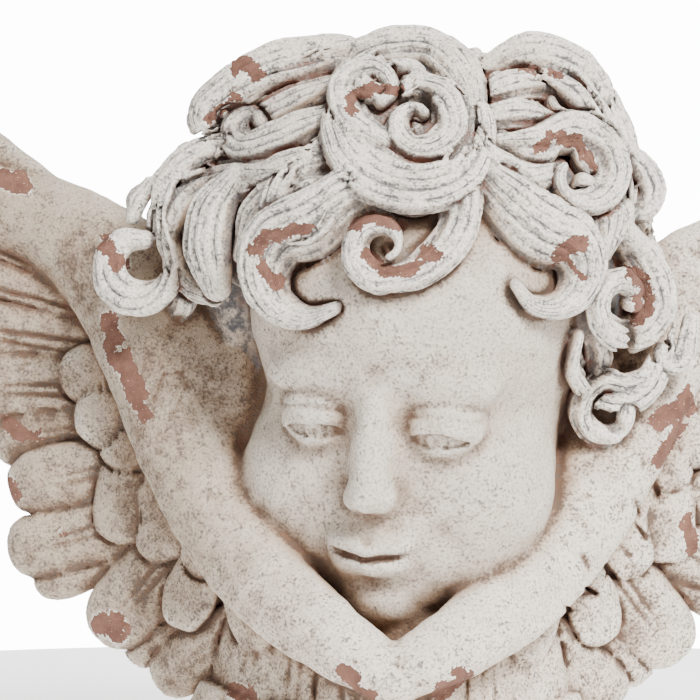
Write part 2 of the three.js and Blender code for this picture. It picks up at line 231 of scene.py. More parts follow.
# The block that is sculpted. Its cells are small round the head and coarser in the wings and behind.
class Clay:
    settings = {
        "fine": 0.95, "coarse": 1.6, "quickScale": 2.1, "far": 30,
        "x": [(-290, -206), (-206, 156), (156, 304)],
        "y": [(-122, -24), (-24, 150)],
        "z": [(-8, 60), (60, 394)],
        "isFine": {"x": (False, True, False), "y": (True, False), "z": (False, True)},
        "margin": 1.5, "fadeIn": 5, "fadeOut": 4, "gapIn": 4, "gapFrom": 0.3, "leastGap": 0.05,
        "grooveWide": 1.15, "grooveVaries": 0.25, "grooveTurn": 2.3, "strandEvery": 5,
    }

    def __init__(self):
        scale = 1
        self.axes = []
        for name in "xyz":
            stops = []
            for (low, high), fine in zip(self.settings[name], self.settings["isFine"][name]):
                step = scale * self.settings["fine" if fine else "coarse"]
                count = max(int(round((high - low) / step)), 2)
                stops.append(np.linspace(low, high, count, endpoint=False))
            stops.append([self.settings[name][-1][1]])
            self.axes.append(np.concatenate(stops).astype(np.float32))
        self.depth = np.full([len(axis) for axis in self.axes], self.settings["far"], np.float32)
        self.strand = np.zeros(self.depth.shape, np.float32)
        self.kind = np.zeros(self.depth.shape, np.uint8)

    def around(self, low, high):
        part = []
        for axis, a, b in zip(self.axes, low, high):
            first = int(np.searchsorted(axis, a))
            last = max(int(np.searchsorted(axis, b)), first + 1)
            part.append(slice(first, last))
        x, y, z = (axis[p] for axis, p in zip(self.axes, part))
        return tuple(part), x[:, None, None], y[None, :, None], z[None, None, :]

    def join(self, part, distance, blend, kind=0):
        old = self.depth[part]
        own = self.kind[part]
        own[distance < old] = kind
        self.kind[part] = own
        self.depth[part] = blendAdd(old, distance, blend)

    def places(self, values, points, axes=None):
        # The value of a field at points inside the block
        share = []
        for axis, at in zip(axes or self.axes, points.T):
            index = np.interp(at, axis, np.arange(len(axis)))
            low = np.clip(index.astype(int), 0, len(axis) - 2)
            share.append((low, (index - low).astype(np.float32)))
        (i, fx), (j, fy), (k, fz) = share
        total = 0
        for di, wx in ((0, 1 - fx), (1, fx)):
            for dj, wy in ((0, 1 - fy), (1, fy)):
                for dk, wz in ((0, 1 - fz), (1, fz)):
                    total = total + values[i + di, j + dj, k + dk] * wx * wy * wz
        return total

    # A rounded band along a line. outward is where its top faces, lean tips it over sideways,
    # grooves are their pitch, shift and depth, and gap is the width and depth of the trench that
    # parts it from what it lies on.
    def band(self, line, outward, halfWide, halfHigh, blend, lean=0, grooves=None, gap=None, kind=0):
        own = self.settings
        count = len(line)
        gapWide, gapDepth = gap or (0, 0)
        largest = float(np.max(np.maximum(halfWide, halfHigh + abs(lean) * halfWide)))
        reach = largest + gapWide + blend + own["margin"]
        part, x, y, z = self.around(line.min(0) - reach, line.max(0) + reach)
        offset = [p.start for p in part]
        shape = self.depth[part].shape
        nearest = np.full(shape, reach * reach, np.float32)
        along = np.full(shape, -1, np.float32)
        for i in range(count - 1):
            start, end = line[i], line[i + 1]
            low, high = np.minimum(start, end) - reach, np.maximum(start, end) + reach
            piece, px, py, pz = self.around(low, high)
            inner = tuple(slice(p.start - o, p.stop - o) for p, o in zip(piece, offset))
            run = end - start
            length = float(run @ run) + 1e-9
            dx, dy, dz = px - start[0], py - start[1], pz - start[2]
            t = np.clip((dx * run[0] + dy * run[1] + dz * run[2]) / length, 0, 1)
            away = (dx - t * run[0]) ** 2 + (dy - t * run[1]) ** 2 + (dz - t * run[2]) ** 2
            closer = away < nearest[inner]
            nearest[inner][closer] = away[closer]
            along[inner][closer] = (i + t)[closer]
        found = np.nonzero(along >= 0)
        at = along[found]
        low = np.minimum(at.astype(int), count - 2)
        mix = (at - low)[:, None]
        ahead = unit(np.gradient(line, axis=0))
        side = unit(np.cross(ahead, outward))
        top = np.cross(side, ahead)
        pick = lambda rows: rows[low] * (1 - mix) + rows[low + 1] * mix
        centre = pick(line)
        away = np.stack([x[found[0], 0, 0], y[0, found[1], 0], z[0, 0, found[2]]], axis=1) - centre
        u = np.sum(away * pick(side), axis=1)
        v = np.sum(away * pick(top), axis=1)
        beyond = np.maximum(np.sum(away * away, axis=1) - u * u - v * v, 0)
        wide = np.interp(at, np.arange(count), halfWide)
        high = np.interp(at, np.arange(count), halfHigh)
        v = v - lean * u
        near = np.sqrt((u / wide) ** 2 + (v / high) ** 2 + beyond / (wide * wide))
        slope = np.sqrt(u * u / wide ** 4 + v * v / high ** 4 + beyond / wide ** 4) + tiny
        distance = near * (near - 1) / slope
        share = at / (count - 1)
        phase = u / own["strandEvery"]
        if grooves:
            pitch, shift, deep = grooves
            phase = (u / wide - shift) / pitch
            number = np.rint(phase)
            valley = np.exp(-((phase - number) * pitch * wide / own["grooveWide"]) ** 2)
            vary = 1 - own["grooveVaries"] + own["grooveVaries"] * np.sin(number * own["grooveTurn"])
            fade = np.clip(np.minimum(share * own["fadeIn"], (1 - share) * own["fadeOut"]), 0, 1)
            distance = distance + deep * (valley * vary) * fade * (v > 0)
        spot = tuple(f + p.start for f, p in zip(found, part))
        if gap:
            old = self.depth[spot]
            gapHere = gapWide * np.clip(share * own["gapIn"] - own["gapFrom"], 0, 1)
            trench = np.minimum(gapHere - distance, old + gapDepth)
            self.depth[spot] = np.where(gapHere > own["leastGap"], np.maximum(old, trench), old)
        self.join(spot, distance, blend, kind)
        self.draw(spot, distance, phase)

    def draw(self, spot, distance, values):
        # Counts the fine lines over what has just been laid
        laid = distance < self.settings["margin"]
        strand = self.strand[spot]
        strand[laid] = np.broadcast_to(values, strand.shape)[laid]
        self.strand[spot] = strand

    def egg(self, centre, radii, turn=np.eye(3), blend=2, cut=False, kind=0):
        extent = np.sqrt(((turn * np.array(radii)) ** 2).sum(1)) + blend + 2
        part, x, y, z = self.around(np.array(centre) - extent, np.array(centre) + extent)
        x, y, z = x - centre[0], y - centre[1], z - centre[2]
        distance = eggDistance(*alongAxes(turn, x, y, z), radii)
        if cut:
            self.depth[part] = blendCut(self.depth[part], distance, blend)
        else:
            self.join(part, distance, blend, kind)


clay = Clay()
isBody, isFace, isHair, isWing = range(4)
print("clay block", clay.depth.shape)

# Head, in millimetres round its own middle: x to the viewer's right, -y forwards, z up.
# Each form is add or cut, centre, radii, blend, and whether the other side has its twin.
head = {
    "place": (13, 0, 204), "turn": -16, "nod": 14, "lean": 5,
    "skull": ((0, 22, 45), (90, 98, 92)),
    "forms": [
        ("add", (0, -8, -24), (73, 72, 85), 14, False),  # mass of the face
        ("add", (0, -30, 40), (68, 52, 48), 20, False),  # forehead
        ("add", (41, -38, -43), (37, 38, 38), 16, True),  # cheek
        ("add", (0, -62, -60), (30, 24, 27), 14, False),  # mass round the mouth
        ("add", (0, -66, -90), (24, 20, 17), 13, False),  # chin
        ("cut", (30, -92, 2), (20, 14, 13), 13, True),  # eye socket
        ("add", (28, -68, 18), (27, 10, 9), 14, True),  # brow
        ("add", (11.5, -67, -2), (7, 7, 11), 8, True),  # inner corner of the eye
        ("add", (32, -40, -74), (34, 34, 25), 14, True),  # jaw
        ("add", (0, -82, -11), (8, 11, 26), 13, False),  # bridge of the nose
        ("add", (0, -88, -23), (7.2, 9, 14), 10, False),  # its lower part
        ("add", (0, -93.5, -32.5), (6.8, 8, 6.4), 8, False),  # tip of the nose
        ("add", (7.8, -86.5, -35), (4.6, 7.5, 4.6), 6, True),  # wing of the nose
        ("cut", (4.8, -94, -42), (2.6, 4.6, 2.2), 2.5, True),  # nostril
        ("add", (6.5, -82.5, -58.3), (13.5, 8.5, 5.6), 8, True),  # upper lip
        ("add", (0, -87, -59.5), (5, 6.5, 4.6), 5, False),  # its middle
        ("add", (5, -82, -69), (12.5, 9, 6.4), 7, True),  # lower lip
        ("cut", (0, -92, -50), (2.8, 4, 7), 4, False),  # groove above the lip
        ("cut", (0, -91, -78), (12, 6, 3.6), 8, False),  # hollow above the chin
    ],
    "eye": {
        "centre": (30, -63, 0), "radius": 18, "margin": 8, "lid": 2.5, "lowerLess": 0.6,
        "upperEdge": -1.6, "lowerEdge": -10.6, "curve": 0.017, "lowerCurve": 0.8,
        "crease": 6.6, "creaseCurve": 0.7, "creaseWide": 1.2, "creaseDepth": 1.5,
        "irisDown": 20, "irisRadius": 5.6, "ringWide": 1.1, "ringDepth": 1.1,
        "pupilRadius": 2.0, "pupilDepth": 1.7, "blends": (1.0, 1.2, 2.6),
    },
    "mouth": {
        "width": 21, "fade": 9, "up": -63.4, "forward": -88, "margin": 28, "front": -60,
        "bow": 0.004, "dip": 0.9, "dipWide": 4, "deep": 2.9, "thick": 1.5,
    },
}


def turnAbout(axis, degrees):
    c, s = math.cos(math.radians(degrees)), math.sin(math.radians(degrees))
    return {
        "x": np.array([[1, 0, 0], [0, c, -s], [0, s, c]]),
        "y": np.array([[c, 0, s], [0, 1, 0], [-s, 0, c]]),
        "z": np.array([[c, -s, 0], [s, c, 0], [0, 0, 1]]),
    }[axis]


headTurn = turnAbout("z", head["turn"]) @ turnAbout("x", head["nod"]) @ turnAbout("y", head["lean"])


def onHead(place):
    return headTurn @ np.array(place, float) + np.array(head["place"], float)


def headAxes(x, y, z, middle):
    # How far across, back and up in the head's own directions
    return alongAxes(headTurn, x - middle[0], y - middle[1], z - middle[2])


def sculptEye(side):
    eye = head["eye"]
    ex, ey, ez = eye["centre"]
    centre = onHead((side * ex, ey, ez))
    reach = eye["radius"] + eye["margin"]
    part, x, y, z = clay.around(centre - reach, centre + reach)
    across, back, up = headAxes(x, y, z, centre)
    across = across * side
    ball = np.sqrt(across ** 2 + back ** 2 + up ** 2) - eye["radius"]
    # The iris and the pupil are cut into the ball where it looks
    down = math.radians(eye["irisDown"])
    gaze = np.sqrt(across ** 2 + (up + eye["radius"] * math.sin(down)) ** 2)
    forward = back < 0
    ring = np.exp(-((gaze - eye["irisRadius"]) / eye["ringWide"]) ** 2) * eye["ringDepth"]
    pupil = np.exp(-(gaze / eye["pupilRadius"]) ** 2) * eye["pupilDepth"]
    carved = ball + (ring + pupil) * forward
    lid = ball - eye["lid"]
    bend = eye["curve"] * across ** 2
    upperLid = np.maximum(lid, eye["upperEdge"] - bend - up)
    lowerLid = np.maximum(lid + eye["lowerLess"], up - eye["lowerEdge"] - bend * eye["lowerCurve"])
    fold = (up - eye["crease"] + bend * eye["creaseCurve"]) / eye["creaseWide"]
    upperLid = upperLid + np.exp(-fold ** 2) * eye["creaseDepth"] * forward
    for form, blend in zip((carved, upperLid, lowerLid), eye["blends"]):
        clay.join(part, form, blend, isFace)


def sculptMouth():
    # The line between the lips, a soft bow cut in from the front
    mouth = head["mouth"]
    centre = onHead((0, mouth["forward"], mouth["up"]))
    part, x, y, z = clay.around(centre - mouth["margin"], centre + mouth["margin"])
    across, back, up = headAxes(x, y, z, head["place"])
    dip = mouth["dip"] * np.exp(-((across / mouth["dipWide"]) ** 2))
    line = mouth["up"] + mouth["bow"] * across ** 2 - dip
    width = np.clip((mouth["width"] - np.abs(across)) / mouth["fade"], 0, 1)
    cut = mouth["deep"] * width * np.exp(-((up - line) / mouth["thick"]) ** 2)
    clay.depth[part] += cut * (back < mouth["front"])


def sculptHead():
    centre, radii = head["skull"]
    clay.egg(onHead(centre), radii, headTurn, 1, kind=isFace)
    for kind, centre, radii, blend, twin in head["forms"]:
        for side in (1, -1) if twin else (1,):
            mirrored = (side * centre[0], centre[1], centre[2])
            clay.egg(onHead(mirrored), radii, headTurn, blend, kind == "cut", isFace)
    for side in (1, -1):
        sculptEye(side)
    sculptMouth()


sculptHead()
print("head done")

# Hair: bands that lie on an egg round the head. by is a row of places x, z seen from the front,
# curl is the middle of the scroll, its turns (anticlockwise is more than 0) and how far it closes,
# wide and lift are values from the root to the tip, and tip tells how far the outer side stands up.
hair = {
    "place": (13, 18, 262), "radii": (114, 106, 108), "rimForward": 0.14,
    "capInset": 6, "capMargin": 4, "capBlend": 3, "openFrom": -22, "openBelow": 52, "openBlend": 8,
    "spacing": 2.6, "gap": (1.8, 5.5), "depth": 3.2, "flatness": 0.42, "blend": 1.0,
    "padding": [(-74, 6, 322, 20), (80, 6, 328, 20), (-94, 12, 284, 18), (112, 8, 296, 18)],
    "paddingShape": (1, 1.6, 1.2), "paddingBlend": 14,
    "grooveSpacing": 5.2, "grooveDepth": 2.6, "leastPitch": 0.3, "mostPitch": 0.62,
    "shift": 0.12, "shiftVaries": 0.1, "shiftTurn": 1.7, "thinEnds": (0.1, 0.8, 0.4), "tip": 0.22,
    "curlSteps": 9, "curlPower": 1.3, "faceOut": 0.6, "faceFront": -0.4, "hollowIn": 3, "hollowBlend": 4,
}

frontLocks = [
    {"by": [(-14, 367), (-30, 367), (-47, 362), (-62, 359), (-75, 354), (-81, 345)],
     "wide": (18, 26, 24, 16), "lift": (0, 2, 1)},
    {"by": [(-8, 366), (-24, 365), (-45, 360), (-67, 351), (-86, 339)], "curl": (-81, 331, 0.8, 0.6),
     "wide": (20, 28, 22, 12), "lift": (0, 4, 3)},
    {"by": [(-17, 350), (-36, 345), (-52, 337), (-72, 326), (-90, 320), (-103, 312)],
     "wide": (14, 22, 22, 14), "lift": (0, 2, 1)},
    {"by": [(-17, 334), (-38, 328), (-52, 321), (-68, 317)], "curl": (-65, 326, -0.65, 0.5),
     "wide": (15, 22, 20, 12), "lift": (1, 4, 4)},
    {"by": [(-66, 309), (-84, 312), (-99, 306), (-110, 292)], "wide": (14, 20, 16), "lift": (0, 1, 0)},
    {"by": [(-20, 314), (-42, 307), (-62, 300), (-82, 298)], "wide": (18, 24, 18), "lift": (0, 1, 0)},
    {"by": [(-30, 300), (-50, 296), (-66, 284), (-72, 266)], "wide": (16, 22, 14), "lift": (0, 0, 0)},
    {"by": [(43, 359), (68, 359), (89, 351), (103, 332), (109, 311), (110, 290), (103, 272)],
     "wide": (20, 30, 30, 22), "lift": (0, 3, 2)},
    {"by": [(106, 320), (117, 314), (125, 301)], "curl": (116, 296, -0.8, 0.65), "wide": (14, 19, 15, 10),
     "lift": (0, 2, 2)},
    {"by": [(92, 300), (102, 287), (101, 266)], "wide": (20, 26, 18), "lift": (0, 1, 0)},
    {"by": [(-22, 345), (-22, 322), (-9, 304), (12, 297), (30, 304)], "curl": (12, 326, 0.3, 0.3),
     "wide": (20, 34, 32, 22), "lift": (2, 4, 3), "tip": 0.35},
    {"by": [(38, 346), (58, 359), (79, 358), (96, 345)], "curl": (82, 342, -0.5, 0.6),
     "wide": (14, 28, 22, 10), "lift": (1, 4, 3), "tip": 0.4},
    {"by": [(36, 337), (56, 345), (74, 345), (91, 333)], "wide": (12, 22, 16, 8), "lift": (2, 5, 4)},
    {"by": [(37, 328), (57, 331), (80, 330)], "wide": (12, 18, 8), "lift": (2, 4, 3)},
    {"by": [(34, 345), (34, 322), (43, 306), (60, 300), (80, 305)], "wide": (14, 22, 24, 14),
     "lift": (1, 4, 3)},
    {"by": [(-9, 340), (10, 342), (24, 336), (28, 322)], "curl": (13, 326, -0.8, 0.75),
     "wide": (18, 24, 18, 9), "lift": (3, 4, 5)},
    {"by": [(-21, 344), (-17, 359), (2, 364), (22, 361), (35, 346), (38, 326)],
     "wide": (20, 32, 28, 18), "lift": (1, 5, 2)},
    {"by": [(-4, 318), (-17, 328), (-20, 341)], "curl": (-8, 338, -0.6, 0.5), "wide": (20, 20, 16, 10),
     "lift": (3, 6, 7), "tip": 0.4},
    {"by": [(50, 318), (68, 319), (86, 324), (99, 317)], "curl": (86, 303, -0.75, 0.75),
     "wide": (14, 22, 18, 10), "lift": (1, 5, 4), "tip": 0.4},
    {"by": [(6, 296), (-17, 293), (-37, 279)], "curl": (-37, 257, 0.6, 0.08),
     "wide": (18, 29, 32, 27, 18, 9), "lift": (1, 4, 6), "tip": 0.42},
    {"by": [(33, 322), (33, 297), (29, 275), (17, 261), (1, 255)], "curl": (-4, 268, -0.95, 0.65),
     "wide": (16, 22, 20, 17, 14, 9), "lift": (1, 6, 8), "tip": 0.3},
    {"by": [(34, 312), (50, 293), (70, 276)], "curl": (70, 258, -0.68, 0.1),
     "wide": (18, 30, 34, 25, 15, 10), "lift": (1, 5, 7), "tip": 0.42},
    {"by": [(137, 234), (133, 216)], "curl": (108, 219, -0.55, 0.2), "wide": (10, 17, 13, 9),
     "lift": (0, 1, 0)},
    {"by": [(103, 284), (117, 271), (126, 256)], "curl": (109, 245, -1.15, 0.85),
     "wide": (16, 24, 21, 17, 17, 15), "lift": (1, 4, 6), "tip": 0.3},
    {"by": [(128, 208), (115, 203)], "curl": (107, 190, 0.85, 0.4), "wide": (13, 17, 14, 12),
     "lift": (-1, 0, 0)},
    {"by": [(148, 236), (146, 222)], "curl": (138, 220, -0.6, 0.4), "wide": (9, 12, 8), "lift": (0, 1, 0)},
    {"by": [(-56, 314), (-82, 320), (-101, 312), (-112, 299), (-115, 280)], "wide": (14, 17, 14),
     "lift": (0, 2, 1)},
    {"by": [(-118, 302), (-124, 294), (-127, 284)], "wide": (10, 13, 8), "lift": (0, 1, 0)},
    {"by": [(-91, 316), (-106, 301), (-110, 282), (-104, 264)], "curl": (-121, 262, -0.8, 0.3),
     "wide": (14, 18, 19, 20, 16), "lift": (0, 3, 3), "tip": 0.4},
    {"by": [(-56, 304), (-80, 304), (-97, 295), (-105, 279), (-104, 263), (-96, 252), (-84, 246)],
     "wide": (18, 17, 15, 15, 16), "lift": (2, 4, 4, 3)},
    {"by": [(-72, 301), (-79, 288), (-82, 270), (-81, 252)], "wide": (22, 27, 28, 26),
     "lift": (5, 9, 9, 5)},
    {"by": [(97, 236), (106, 220), (104, 204)], "wide": (14, 18, 14), "lift": (-3, -4, -4)},
]

# Hollows in the middle of scrolls: x, z, half width, how far in
hollows = [
    (-2, 268, 4, 6), (15, 336, 4.5, 6), (-118, 262, 7, 7),
    (84, 304, 5, 7), (106, 186, 3, 6), (83, 346, 5, 3), (-91, 275, 4.5, 10), (114, 247, 3, 4),
    (110, 226, 8, 4),
]


def hairSurface(x, z):
    place, radii = hair["place"], hair["radii"]
    left = 1 - ((x - place[0]) / radii[0]) ** 2 - ((z - place[2]) / radii[2]) ** 2
    return place[1] - radii[1] * np.sqrt(np.maximum(left, hair["rimForward"]))


def hairOut(points):
    return unit((points - np.array(hair["place"])) / np.array(hair["radii"]) ** 2)


def curlPoints(start, curl):
    x, z, turns, close = curl
    radius = math.hypot(start[0] - x, start[1] - z)
    first = math.atan2(start[1] - z, start[0] - x)
    steps = max(int(abs(turns) * hair["curlSteps"]), 2)
    points = []
    for i in range(1, steps + 1):
        share = i / steps
        reach = radius * (1 - close * share ** hair["curlPower"])
        angle = first + turns * 2 * math.pi * share
        points.append((x + reach * math.cos(angle), z + reach * math.sin(angle)))
    return points


def overLength(values, count):
    return np.interp(np.linspace(0, 1, count), np.linspace(0, 1, len(values)), values)


def layLock(line, outward, wide, turns, number, tip):
    share = np.linspace(0, 1, len(line))
    start, run, power = hair["thinEnds"]
    half = wide / 2 * np.sin(math.pi * (start + run * share)) ** power
    lean = tip * np.sign(turns)
    pitch = min(max(hair["grooveSpacing"] / half.max(), hair["leastPitch"]), hair["mostPitch"])
    shift = hair["shift"] + hair["shiftVaries"] * math.sin(number * hair["shiftTurn"])
    grooves = (pitch, shift, hair["grooveDepth"])
    high = half * hair["flatness"] + hair["depth"]
    clay.band(line, outward, half, high, hair["blend"], lean, grooves, hair["gap"], isHair)


def sculptCap():
    centre = np.array(hair["place"], float)
    radii = np.array(hair["radii"], float) - hair["capInset"]
    reach = radii + hair["capMargin"]
    part, x, y, z = clay.around(centre - reach, centre + reach)
    cap = eggDistance(x - centre[0], y - centre[1], z - centre[2], radii)
    back, up = headAxes(x, y, z, head["place"])[1:]
    opening = np.maximum(back - hair["openFrom"], up - hair["openBelow"])
    cap = blendCut(cap, opening, hair["openBlend"])
    clay.join(part, cap, hair["capBlend"], isHair)
    for x, y, z, wide in hair["padding"]:
        size = [wide * share for share in hair["paddingShape"]]
        clay.egg((x, y, z), size, blend=hair["paddingBlend"], kind=isHair)


def sculptFrontLocks():
    for number, lock in enumerate(frontLocks):
        flat = list(lock["by"])
        curl = lock.get("curl")
        if curl:
            flat += curlPoints(flat[-1], curl)
        flat = smoothLine(flat, hair["spacing"])
        line = np.stack([flat[:, 0], hairSurface(flat[:, 0], flat[:, 1]), flat[:, 1]], axis=1)
        out = hairOut(line)
        line = line + out * overLength(lock["lift"], len(line))[:, None]
        outward = unit(out * hair["faceOut"] + np.array([0, hair["faceFront"], 0]))
        wide = overLength(lock["wide"], len(line))
        layLock(line, outward, wide, curl[2] if curl else 0, number, lock.get("tip", hair["tip"]))


def sculptHollows():
    for x, z, wide, deep in hollows:
        place = np.array([x, hairSurface(x, z), z])
        out = hairOut(place)
        side = unit(np.cross([0, 0, 1], out))
        turn = np.stack([side, out, np.cross(out, side)], axis=1)
        size = (wide, deep + hair["hollowIn"], wide)
        clay.egg(place + out * hair["hollowIn"], size, turn, hair["hollowBlend"], cut=True)


# Plainer scrolls in rings, at the sides, on the back and as a layer under the front locks. Each set is
# its lifts, its first number and its rings. A ring is its height, its first and last turn, all three in
# degrees, and how many scrolls it has.
scrolls = {
    "sets": [
        ((2, 5, 8), 140, [(-8, 80, 280, 2), (16, 78, 282, 2), (38, 74, 286, 2), (58, 66, 294, 2)]),
        ((0, 2, 4), 60, [
            (-44, 128, 232, 4), (-16, 104, 256, 6), (12, 96, 264, 7), (38, 92, 268, 6), (64, 110, 250, 3),
        ]),
        ((-2, -2, -1), 100, [
            (30, -64, 64, 5), (50, -60, 72, 4), (70, -50, 60, 2), (6, 70, 84, 2), (6, -88, -72, 2),
        ]),
    ],
    "radius": 17, "wide": (14, 20, 16, 12), "turns": 0.95, "close": 0.75, "tip": 0.3,
    "root": (13, 34), "bend": 0.85, "enter": (0.8, 0.5), "sway": 8, "swayTurn": 2.4, "stagger": 0.25,
}


def sculptScrolls(lift, number, rings):
    place, radii = np.array(hair["place"], float), np.array(hair["radii"], float)
    for row, (up, start, end, count) in enumerate(rings):
        for i in range(count):
            step = (i + scrolls["stagger"] * (row % 2)) / (count - 1)
            around = math.radians(start + (end - start) * step)
            high = math.radians(up + scrolls["sway"] * math.sin(i * scrolls["swayTurn"] + row))
            flat = math.cos(high)
            middle = np.array([math.sin(around) * flat, -math.cos(around) * flat, math.sin(high)])
            out = unit(middle / radii)
            side = unit(np.cross([0, 0, 1], out))
            top = np.cross(out, side)
            sense = 1 if (i + row) % 2 else -1
            root = (-sense * scrolls["root"][0], scrolls["root"][1])
            inX, inZ = scrolls["enter"]
            enter = (sense * scrolls["radius"] * inX, scrolls["radius"] * inZ)
            by = [root, ((root[0] + enter[0]) / 2, root[1] * scrolls["bend"]), enter]
            by += curlPoints(enter, (0, 0, -sense * scrolls["turns"], scrolls["close"]))
            by = smoothLine(by, hair["spacing"])
            line = place + middle * radii + by[:, :1] * side + by[:, 1:] * top
            line = place + unit((line - place) / radii) * radii
            out = hairOut(line)
            line = line + out * overLength(lift, len(line))[:, None]
            wide = overLength(scrolls["wide"], len(line))
            layLock(line, out, wide, -sense, number, scrolls["tip"])
            number += 1


sculptCap()
for scrollSet in scrolls["sets"]:
    sculptScrolls(*scrollSet)
print("back of the hair done")
sculptFrontLocks()
sculptHollows()
print("front of the hair done")

# Wings, worked out on the viewer's left over a bent surface that comes forward towards the chin.
# height is measured forwards from that surface, and turn is in degrees from outwards to up.
wings = {
    "behind": 42, "forward": 112, "curl": 95, "thickness": 26, "sink": 6,
    "drop": 4, "meeting": 58, "gap": 1.2, "gapDepth": 2.6, "front": -110,
    "rimSpacing": 8, "rimBlend": 6, "sheetBlend": 2, "sheetMargin": 6, "sheetBack": 90,
    "edgeSpacing": 5, "edgeBlend": 2.5, "cutMargin": 4, "cutBack": 60,
    "feather": {
        "reach": 0.7, "margin": 4, "before": 14, "behind": 10, "rootShare": 0.04,
        "full": (0.86, 0.36, 0.2), "fullest": (0.5, 1.2), "shingle": 2.2, "blunt": 0.75, "bluntest": 0.6,
        "rootEnd": 0.06, "rootSteep": 16, "tipPower": 2.2, "sidePower": 2.8, "blend": 1.0,
        "quillApart": (1.4, 2.2), "quillWide": 1.1, "quillFade": (1.9, 2.2), "slant": 1.1, "barbs": 4.5,
    },
    "sheet": [
        (4, 24), (-60, 30), (-116, 66), (-156, 120), (-166, 190), (-210, 262), (-240, 326),
        (-190, 300), (-124, 240), (-98, 176), (-70, 118), (-32, 88), (4, 72),
    ],
    "edge": [  # x, z, height, half width, half height
        (2, 64, 4, 13, 13), (-30, 83, 8, 18, 15), (-60, 107, 10, 22, 16), (-86, 141, 9, 24, 17),
        (-103, 180, 8, 27, 18), (-112, 217, 6, 33, 18), (-130, 251, 4, 32, 17), (-162, 279, 3, 25, 16),
        (-198, 295, 2, 20, 14), (-233, 314, 1, 17, 12), (-266, 335, 0, 10, 8),
    ],
    # x and z of the root, turn, length, width, thickness, height at the root and the tip, quill
    "feathers": [
        (-166, 288, 36, 132, 32, 18, -4, 0, 2.6), (-164, 278, 31, 123, 33, 18, -4, 0, 2.6),
        (-161, 266, 26, 114, 35, 18, -4, 0, 2.6), (-159, 252, 21, 105, 36, 18, -4, 0, 2.6),
        (-157, 237, 15, 96, 37, 18, -4, 0, 2.6), (-154, 221, 8, 87, 38, 18, -4, 0, 2.6),
        (-148, 200, 0, 76, 39, 18, -4, 0, 2.6), (-140, 180, -6, 66, 36, 16, -7, -4, 1.6),
        (-114, 129, -23, 78, 29, 16, -8, -3, 1.4), (-90, 109, -48, 66, 32, 16, -9, -3, 1.4),
        (-68, 88, -37, 66, 30, 16, -8, -3, 1.4),
        (-112, 138, -15, 90, 37, 18, -5, 0, 2.2), (-116, 164, -11, 84, 37, 18, -3, 1, 2.2),
        (-98, 130, -49, 80, 39, 18, -4, 1, 2.6), (-62, 98, -77, 62, 34, 18, -6, 0, 2.0),
        (-44, 84, -82, 58, 36, 20, -8, -2, 1.6), (-20, 66, -88, 54, 36, 20, -6, -2, 1.6),
        (-78, 50, -70, 56, 40, 22, 4, 8, 1.6), (-48, 46, -84, 56, 38, 22, 5, 9, 1.6),
        (-18, 38, -90, 50, 36, 22, 5, 9, 1.6),
        (-73, 107, -106, 36, 26, 12, 3, 5, 0), (-93, 116, -70, 40, 28, 12, 3, 5, 0),
        (-97, 148, -100, 44, 26, 12, 4, 6, 0), (-110, 160, -64, 36, 28, 12, 3, 5, 0),
        (-114, 158, -88, 47, 30, 12, 4, 6, 0), (-131, 167, -82, 48, 33, 12, 3, 5, 0),
        (-119, 190, -52, 39, 30, 12, 5, 7, 0), (-131, 210, -62, 46, 35, 12, 5, 7, 0),
        (-125, 205, 5, 45, 34, 12, 4, 6, 0),
    ],
    # cuts x, z to x, z, their depth and width: cracks in the left arm, and strokes on the right
    "cuts": {
        -1: [
            (-117, 196, -112, 208, 0.9, 0.8), (-112, 208, -103, 209, 0.9, 0.8),
            (-103, 209, -101, 202, 0.9, 0.8), (-101, 202, -104, 195, 0.9, 0.8),
            (-104, 195, -110, 184, 0.8, 0.8), (-76, 150, -72, 143, 0.8, 0.8),
        ],
        1: [
            (-119, 146, -115, 153, 2.2, 1.0), (-124, 134, -118, 141, 2.4, 1.0),
            (-116, 125, -110, 131, 2.2, 1.0), (-109, 114, -102, 121, 2.4, 1.0),
            (-100, 105, -92, 110, 2.2, 1.0), (-129, 155, -127, 163, 2.4, 1.0),
            (-92, 120, -88, 127, 2.2, 1.0), (-87, 97, -81, 102, 2.2, 1.0),
        ],
    },
}


def wingDepth(x):
    return wings["behind"] - wings["forward"] * np.exp(-((x / wings["curl"]) ** 2))


def wingSteep(x):
    # How much shorter the way to the bent surface is than the way straight back to it
    fall = 2 * wings["forward"] * x / wings["curl"] ** 2 * np.exp(-((x / wings["curl"]) ** 2))
    return 1 / np.sqrt(1 + fall ** 2)


def toWing(side, x, z):
    # From the part's x, z to the wing's own, where side is -1 on the viewer's left
    if side < 0:
        return x + 0 * z, z + 0 * x
    c, s = math.cos(math.radians(wings["drop"])), math.sin(math.radians(wings["drop"]))
    up = z - wings["meeting"]
    return -(x * c - up * s), x * s + up * c + wings["meeting"]


def fromWing(side, x, z):
    if side < 0:
        return x, z
    c, s = math.cos(math.radians(wings["drop"])), math.sin(math.radians(wings["drop"]))
    up = z - wings["meeting"]
    return -x * c + up * s, x * s + up * c + wings["meeting"]


def aroundWing(side, corners, margin, front, back):
    ends = np.array([fromWing(side, *corner) for corner in corners])
    low, high = ends.min(0) - margin, ends.max(0) + margin
    part, x, y, z = clay.around((low[0], front, low[1]), (high[0], back, high[1]))
    return (part, y) + toWing(side, x, z)


